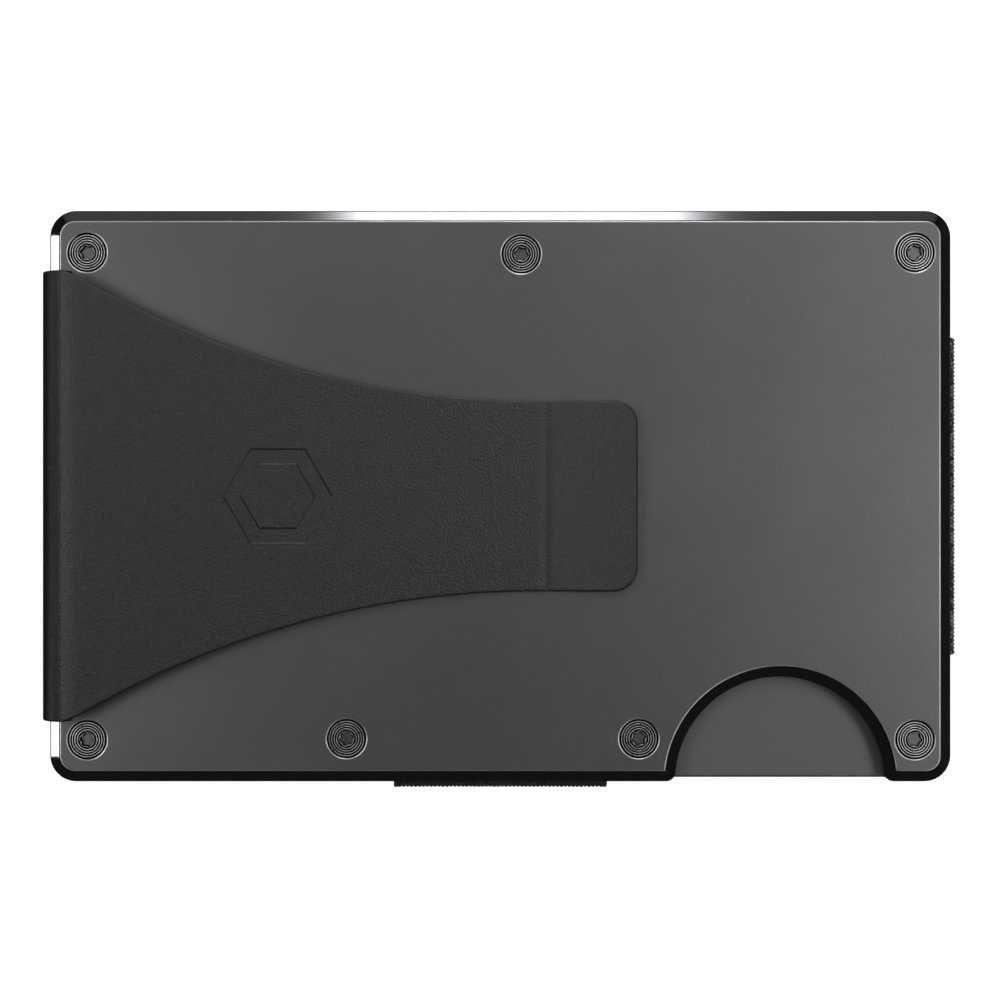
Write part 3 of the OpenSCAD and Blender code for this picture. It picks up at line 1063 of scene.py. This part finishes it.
def ribbed_strip(name, line, width_way, width, thickness, rib):
    """A flat run of webbing along a line of (place, thickness factor): ribs on both sides, closed ends."""
    ribs = round(width / rib)
    per_rib = 4
    relief = 0.14
    bm = bmesh.new()
    section = []
    for side in (1, -1):
        for i in range(ribs * per_rib + 1):
            across = (i / (ribs * per_rib) - 0.5) * width * side
            swell = 1 - relief + relief * abs(math.sin(math.pi * i / per_rib))
            section.append((across, side * swell * thickness / 2))
    rings = [
        [place + width_way * across + Vector((0, 0, height * factor)) for across, height in section]
        for place, factor in line
    ]
    rows = skin(bm, rings)
    bm.faces.new(rows[0][::-1])
    bm.faces.new(rows[-1])
    return from_bmesh(name, bm, math.radians(80))


class WALLET_OT_elastic(Operator):
    """Weave the elastic band and strap"""

    bl_idname = "wallet.elastic"
    bl_label = "Elastic"

    def execute(self, context):
        elastic = context.scene.wallet_elastic
        finishes = context.scene.wallet_finishes
        # Painted light: one yarn in two copies, the band's with painted sheen in its flecks, the strap's
        # painted darker as in shade.
        yarns = {
            "elastic_band": woven_yarn("band yarn", finishes.band_fleck_and_sheen),
            "elastic_strap": woven_yarn("strap yarn", finishes.strap_fleck_shaded),
        }
        tree = webbing_tree()
        half = elastic.webbing / 2
        low, high = BAND_LOW.z + half, BAND_HIGH.z - half
        card_low, card_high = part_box("rear_inner_plate")
        band, strap = BAND_HIGH.y * 2, STRAP_HIGH.x * 2
        ends = [
            ("band_right", "elastic_band", Vector((1, 0, 0)), BAND_HIGH.x, card_high.x, band),
            ("band_left", "elastic_band", Vector((-1, 0, 0)), -BAND_LOW.x, -card_low.x, band),
            ("strap_loop", "elastic_strap", Vector((0, -1, 0)), -STRAP_LOW.y, -card_low.y, strap),
        ]
        for name, node, out, end, edge, width in ends:
            line = loop_path(out, edge - 2 * elastic.tuck, end - half, low, high)
            piece = grown(
                name, points_mesh(name, line, joined=True), tree, Width=width, Thickness=elastic.webbing,
                Rib_Pitch=elastic.rib, Stitch_Pitch=elastic.stitch, Tilt=elastic.tilt, Seed=elastic.seed,
                Material=yarns[node])
            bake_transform(piece)
            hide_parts(node)
        self.hidden_runs(elastic, yarns, low, high, card_low, card_high)
        return {"FINISHED"}

    def hidden_runs(self, elastic, yarns, low, high, card_low, card_high):
        """The flat runs between the plates: the band's right through, the strap's as far as its hems."""
        band_mouth = card_high.x - 2 * elastic.tuck
        strap_mouth = card_low.y + 2 * elastic.tuck
        hem_start = STRAP_HIGH.y - elastic.hem
        fold = elastic.hem_thickness / elastic.webbing
        steps = [
            (strap_mouth, 0), (hem_start, 0), (hem_start + elastic.swell / 3, 0.9),
            (hem_start + elastic.swell, 1), (STRAP_HIGH.y, 1)]
        for body, z, inward in (("rear", low, 1), ("front", high, -1)):
            band = ribbed_strip(
                f"band_run_{body}", [(Vector((x, 0, z)), 1) for x in (-band_mouth, band_mouth)],
                Vector((0, 1, 0)), BAND_HIGH.y * 2, elastic.webbing, elastic.rib)
            rise = Vector((0, 0, inward * (elastic.hem_thickness - elastic.webbing) / 2))
            strap = ribbed_strip(
                f"strap_run_{body}",
                [(Vector((0, y, z)) + rise * part, 1 + (fold - 1) * part) for y, part in steps],
                Vector((-1, 0, 0)), STRAP_HIGH.x * 2, elastic.webbing, elastic.rib)
            for piece, node in ((band, "elastic_band"), (strap, "elastic_strap")):
                piece.data.materials.append(yarns[node])
                ride_as(piece, body, "webbing", node)


# ---------------------------------------------------------------- screws


def recess_rings(screws, top):
    """The six-lobe recess from the middle of its floor to its rolled rim on the face."""
    wall, lobe = screws.recess, screws.lobe
    floor = top - screws.recess_depth
    # The last value paints light: a grey floor, near-black walls as painted shade and a brighter rolled rim
    # as painted highlight.
    return [
        (wall * 0.4, 0, floor, 0.2),
        (wall * 0.86, lobe * 0.8, floor, 0.2),
        (wall * 0.92, lobe, floor + 3 * FINE, 0),
        (wall, lobe, top - 4 * FINE, 0),
        (wall + 2 * FINE, lobe, top - FINE, 0.5),
        (wall + 7 * FINE, lobe * 0.6, top, 0.5),
        (wall + 9 * FINE, lobe * 0.4, top - FINE, 0),
    ]


def ridge_rings(screws, top):
    """The turned ridges, each with a groove before it and a flat crest; the last value paints the crest
    bright as a highlight and the groove dark as shade.
    """
    groove, foot, flat = (share * screws.ridge_pitch for share in (0.5, 0.18, 0.11))
    rings = []
    for i in range(screws.ridges):
        crest = screws.ridge_start + i * screws.ridge_pitch
        rings += [
            (crest - groove, 0, top - screws.ridge_depth, 0),
            (crest - foot, 0, top - FINE, 0),
            (crest - flat, 0, top, 1),
            (crest + flat, 0, top, 1),
            (crest + foot, 0, top - FINE, 0),
        ]
    return rings


def screw_mesh():
    """One screw, face up with the plate's face at z = 0: recess, turned ridges, cone and thread."""
    screws = bpy.context.scene.wallet_screws
    top, tip = -screws.drop, -screws.reach
    edge = top - screws.ridge_depth
    rings = recess_rings(screws, top) + ridge_rings(screws, top) + [
        (screws.head, 0, edge, 0),
        (screws.shank, 0, edge - screws.head + screws.shank, 0),
        (screws.shank, 0, tip + screws.chamfer, 0),
        (screws.shank - screws.chamfer, 0, tip, 0),
    ]
    ways = [(turn, math.cos(turn), math.sin(turn)) for turn in (math.tau * i / 72 for i in range(72))]
    bm = bmesh.new()
    # Painted light: each ring's value sets the steel's colour from painted shade to painted highlight.
    layer = bm.verts.layers.float.new("crest")
    loops = []
    for radius, lobe, z, _ in rings:
        reaches = [radius + lobe * math.cos(6 * turn) for turn, _, _ in ways]
        loops.append([(reach * x, reach * y, z) for reach, (_, x, y) in zip(reaches, ways)])
    rows = skin(bm, loops)
    for row, ring in zip(rows, rings):
        for vert in row:
            vert[layer] = ring[3]
    bm.faces.new(rows[0][::-1])
    bm.faces.new(rows[-1])
    return from_bmesh("screw", bm, math.radians(50))


def screw_tree():
    """Sets a screw at every point, each turned by chance, face up or face down."""
    tree = Tree("Screw Set", [
        ("Screw", "Object"), ("Turn Limit", "Float"), ("Seed", "Int"), ("Face Down", "Float"),
        ("Material", "Material")])
    given = tree.given
    screw = tree.add("GeometryNodeObjectInfo", Object=given["Screw"]).outputs["Geometry"]
    turn = tree.chance(given["Seed"], high=given["Turn Limit"])
    flip = tree.math("MULTIPLY", given["Face Down"], math.pi)
    rotation = tree.add("ShaderNodeCombineXYZ", X=flip, Z=turn).outputs[0]
    placed = tree.add(
        "GeometryNodeInstanceOnPoints", Points=given["Geometry"], Instance=screw, Rotation=rotation)
    return tree.end(placed.outputs[0], given["Material"])


class WALLET_OT_screws(Operator):
    """Set the seven screws of each side"""

    bl_idname = "wallet.screws"
    bl_label = "Screws"

    def execute(self, context):
        screws = context.scene.wallet_screws
        steel = turned_steel()
        tree = screw_tree()
        pattern = screw_mesh()
        for body, z, down in (("front", FRONT_HIGH.z, 0.0), ("rear", REAR_LOW.z, 1.0)):
            places = [(*place, z) for place in screw_places(body)]
            piece = grown(
                f"{body}_screws", points_mesh(body, places), tree, Screw=pattern, Turn_Limit=screws.turn,
                Seed=screws.seed, Face_Down=down, Material=steel)
            ride_as(piece, body, "screw_steel", *[f"{body}_screw_{i + 1}" for i in range(SCREW_COUNT)])
        bpy.data.objects.remove(pattern)
        return {"FINISHED"}


# ---------------------------------------------------------------- stage


# Light panels: name, centre, half sides across and up, strength, and the shares of the
# sides over which the light fades. None of them is seen by the camera.
SOFT, BAR, LONG = (0.5, 0.5), (0.12, 0.2), (0.2, 0.1)
PANELS = (
    # Over the wallet, for the grey of its face
    ("soft", (-0.3, 0, 0.6), (0.12, 0, 0), (0, -0.2, 0), 13.4, SOFT),
    ("soft", (-0.38, 0.28, 0.6), (0.16, 0, 0), (0, -0.2, 0), 9.3, SOFT),
    ("soft", (0.1, 0.3, 0.6), (0.2, 0, 0), (0, -0.2, 0), 7.5, SOFT),
    ("soft", (0.28, 0, 0.6), (0.16, 0, 0), (0, -0.2, 0), 10.1, SOFT),
    ("high", (0, 0.5, 0.38), (0.35, 0, 0), (0, -0.08, 0.1), 3.0, (0.4, 0.4)),
    # Small and strong, for the gleams in the left and the upper chamfer
    ("left", (-0.2, -0.041, 0.038), (0, 0.009, 0), (0, 0, 0.0055), 40, BAR),
    ("left", (-0.2, 0.041, 0.038), (0, 0.009, 0), (0, 0, 0.0055), 40, BAR),
    ("top", (0.003, 0.2, 0.052), (0.0325, 0, 0), (0, 0, 0.009), 40, (0.12, 0.3)),
    # Round the wallet, for its sides
    ("back", (0, 0.5, 0.14), (0.5, 0, 0), (0, 0, 0.07), 1.0, (0.2, 0.4)),
    ("corner", (-0.45, 0.45, 0.34), (0.25, 0.25, 0), (0, 0, 0.12), 2.0, (0.3, 0.3)),
    ("corner", (0.45, -0.45, 0.48), (0.25, 0.25, 0), (0, 0, 0.12), 4.0, (0.3, 0.3)),
    ("low", (0.6, 0, 0.02), (0, 0.48, 0), (0, 0, 0.05), 2.5, LONG),
    ("low", (0, -0.6, 0.02), (-0.48, 0, 0), (0, 0, 0.05), 1.2, LONG),
    ("low", (0, 0.6, 0.02), (0.48, 0, 0), (0, 0, 0.05), 2.0, LONG),
)


def glow(name, strength, fades):
    """Light that fades towards a panel's edges."""
    material = bpy.data.materials.new(name)
    material.use_nodes = True
    nodes = Nodes(material.node_tree)
    nodes.tree.nodes.clear()
    place = nodes.add("ShaderNodeTexCoord").outputs["UV"]
    parts = nodes.add("ShaderNodeSeparateXYZ", Vector=place).outputs
    level = strength
    for part, fade in zip(parts, fades):
        off_centre = nodes.math("ABSOLUTE", nodes.math("SUBTRACT", part, 0.5))
        from_edge = nodes.math("SUBTRACT", 0.5, off_centre)
        ramp = nodes.add(
            "ShaderNodeMapRange", {"interpolation_type": "SMOOTHSTEP"}, Value=from_edge, From_Max=fade)
        level = nodes.math("MULTIPLY", level, ramp.outputs["Result"])
    emission = nodes.add("ShaderNodeEmission", Strength=level).outputs[0]
    nodes.add("ShaderNodeOutputMaterial", Surface=emission)
    return material


def rectangle(name, centre, across, up, material):
    """A rectangle spanned by two half sides, with its own UV map, as part of the stage."""
    centre, across, up = Vector(centre), Vector(across), Vector(up)
    corners = [centre - across - up, centre + across - up, centre + across + up, centre - across + up]
    mesh = bpy.data.meshes.new(name)
    mesh.from_pydata([tuple(corner) for corner in corners], [], [(0, 1, 2, 3)])
    layer = mesh.uv_layers.new(name="place")
    for loop, uv in zip(layer.data, ((0, 0), (1, 0), (1, 1), (0, 1))):
        loop.uv = uv
    mesh.materials.append(material)
    piece = put(name, mesh)
    return piece


def floor_finish(light):
    """Matt floor: to the camera pale with a faint shadow, and dark to the light and reflections."""
    pale, dark = (0.35, 0.35, 0.35), (0.03, 0.03, 0.03)
    finish = Finish("floor", pale, metallic=0.0, roughness=0.9)
    seen = finish.add("ShaderNodeLightPath").outputs["Is Camera Ray"]
    finish.tint(seen, dark, pale, 0, 1)
    finish.set(
        Specular_IOR_Level=0.0, Emission_Color=(1, 1, 1, 1),
        Emission_Strength=finish.spread(seen, 0, light, 0, 1))
    return finish.material


def studio_world(ambient, backdrop):
    """White behind the wallet, dim all round for light and reflections."""
    world = bpy.data.worlds.new("studio")
    world.use_nodes = True
    nodes = Nodes(world.node_tree)
    seen = nodes.add("ShaderNodeLightPath").outputs["Is Camera Ray"]
    level = nodes.add("ShaderNodeMapRange", Value=seen, To_Min=ambient, To_Max=backdrop).outputs["Result"]
    nodes.fill(nodes.tree.nodes["Background"], {"Color": (1, 1, 1, 1), "Strength": level})
    bpy.context.scene.world = world


class WALLET_OT_stage(Operator):
    """Set up the floor, the light panels and the camera"""

    bl_idname = "wallet.stage"
    bl_label = "Stage"

    def execute(self, context):
        stage = context.scene.wallet_stage
        half = stage.floor / 2
        rectangle("floor", (0, 0, 0), (half, 0, 0), (0, half, 0), floor_finish(stage.floor_light))
        for name, centre, across, up, strength, fades in PANELS:
            panel = rectangle(f"{name}_panel", centre, across, up, glow(f"{name} glow", strength, fades))
            panel.visible_camera = False
            panel.visible_shadow = False
        studio_world(stage.ambient, stage.backdrop)
        camera = bpy.data.cameras.new("camera")
        camera.lens = stage.lens
        camera.clip_start = 0.01
        eye = put("camera", camera)
        eye.location = (stage.camera_x, stage.camera_y, stage.camera_z)
        context.scene.camera = eye
        context.scene.view_settings.view_transform = "Standard"
        return {"FINISHED"}


# ---------------------------------------------------------------- add-on


SETTINGS = {
    "wallet_plates": WalletPlates,
    "wallet_clip": WalletClip,
    "wallet_elastic": WalletElastic,
    "wallet_screws": WalletScrews,
    "wallet_finishes": WalletFinishes,
    "wallet_stage": WalletStage,
}
OPERATORS = (
    WALLET_OT_front_plate,
    WALLET_OT_rear_plate,
    WALLET_OT_card_plates,
    WALLET_OT_money_clip,
    WALLET_OT_elastic,
    WALLET_OT_screws,
    WALLET_OT_stage,
)


class WALLET_PT_sidebar(Panel):
    """Lists the wallet's operators and settings"""

    bl_label = "Wallet"
    bl_space_type = "VIEW_3D"
    bl_region_type = "UI"
    bl_category = "Wallet"

    def draw(self, context):
        for operator in OPERATORS:
            self.layout.operator(operator.bl_idname)
        for key in SETTINGS:
            settings = getattr(context.scene, key)
            box = self.layout.box()
            for name in settings.bl_rna.properties.keys():
                if name not in ("rna_type", "name"):
                    box.prop(settings, name)


CLASSES = (*SETTINGS.values(), *OPERATORS, WALLET_PT_sidebar)


def register():
    for cls in CLASSES:
        bpy.utils.register_class(cls)
    for key, cls in SETTINGS.items():
        setattr(bpy.types.Scene, key, PointerProperty(type=cls))


def unregister():
    for key in SETTINGS:
        delattr(bpy.types.Scene, key)
    for cls in reversed(CLASSES):
        bpy.utils.unregister_class(cls)


def main():
    """Registers the add-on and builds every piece."""
    register()
    for operator in OPERATORS:
        group, name = operator.bl_idname.split(".")
        getattr(getattr(bpy.ops, group), name)()


if __name__ == "__main__":
    main()
